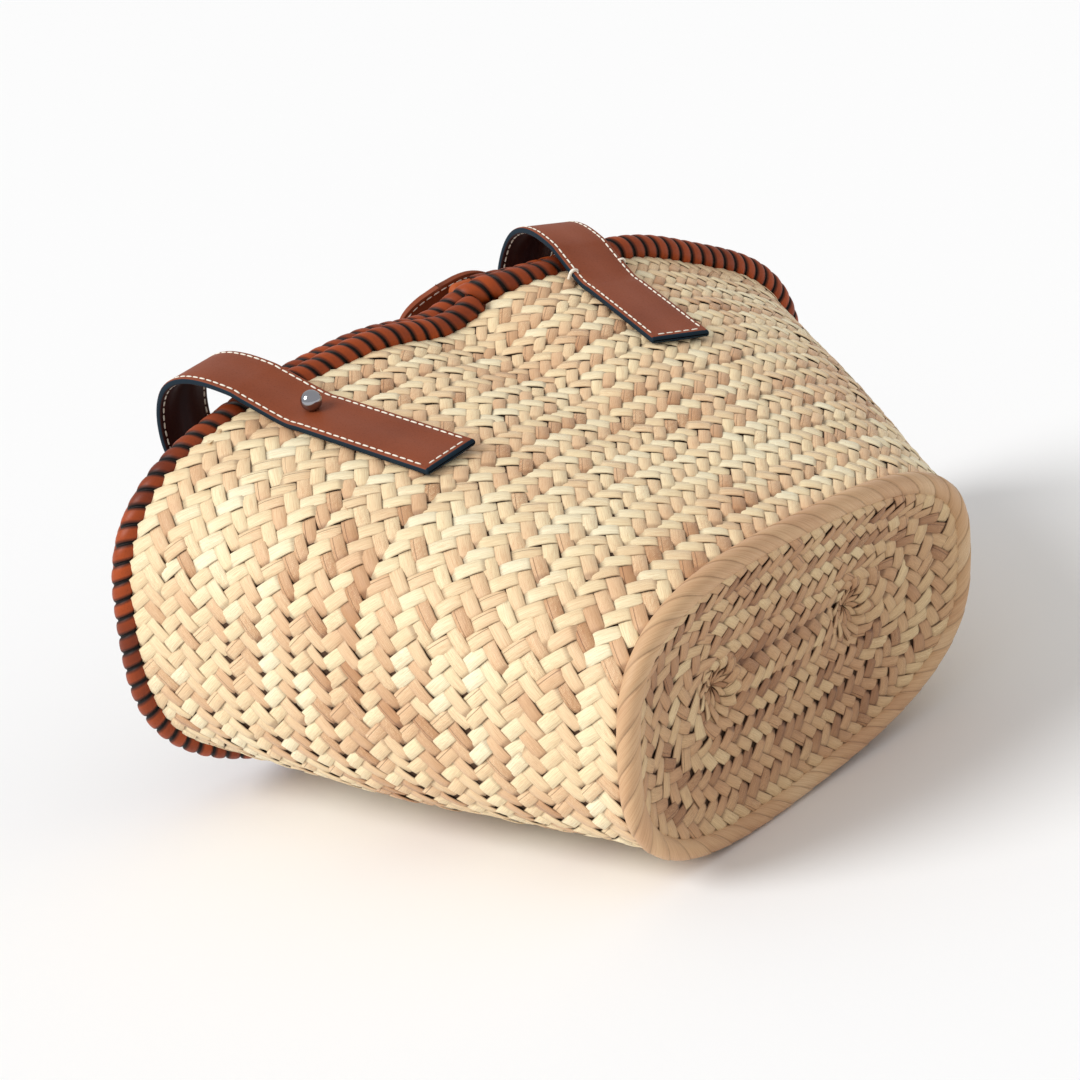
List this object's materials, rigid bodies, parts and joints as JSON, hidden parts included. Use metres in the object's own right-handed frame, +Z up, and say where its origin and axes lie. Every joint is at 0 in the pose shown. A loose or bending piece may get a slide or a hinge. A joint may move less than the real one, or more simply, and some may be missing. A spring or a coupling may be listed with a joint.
{
  "type": "straw basket bag",
  "caption": "Flared bag plaited from palm-leaf braids, lying on its back wall, with a leather-wrapped rope round the mouth, folded leather straps and a slightly hollow oval base.",
  "frame": {"origin": "middle of the bounding box at the floor", "axes": "the bag lies on its back wall: +X from the mouth to the base, +Y along the mouth's long side, +Z up through the front wall"},
  "size_m": [0.3132, 0.3972, 0.191],
  "materials": {
    "plaited_palm": "dry plaited palm leaf, straw yellow with pinkish tan strips",
    "palm_strip": "smooth palm strip wrapped on the slant, pinkish tan",
    "rope_leather": "reddish brown leather strip with dark edges, satin",
    "strap_leather": "brown grained leather, dark painted edges, cream stitching",
    "polished_steel": "polished"
  },
  "bodies": {
    "root": {"basket_wall": "plaited_palm", "base_panel": "plaited_palm", "base_piping": "palm_strip", "handle_rope": "rope_leather", "front_strap_left": "strap_leather", "front_strap_right": "strap_leather", "back_strap_left": "strap_leather", "back_strap_right": "strap_leather", "closing_flap": "strap_leather", "strap_stud": "polished_steel"}
  },
  "joints": []
}
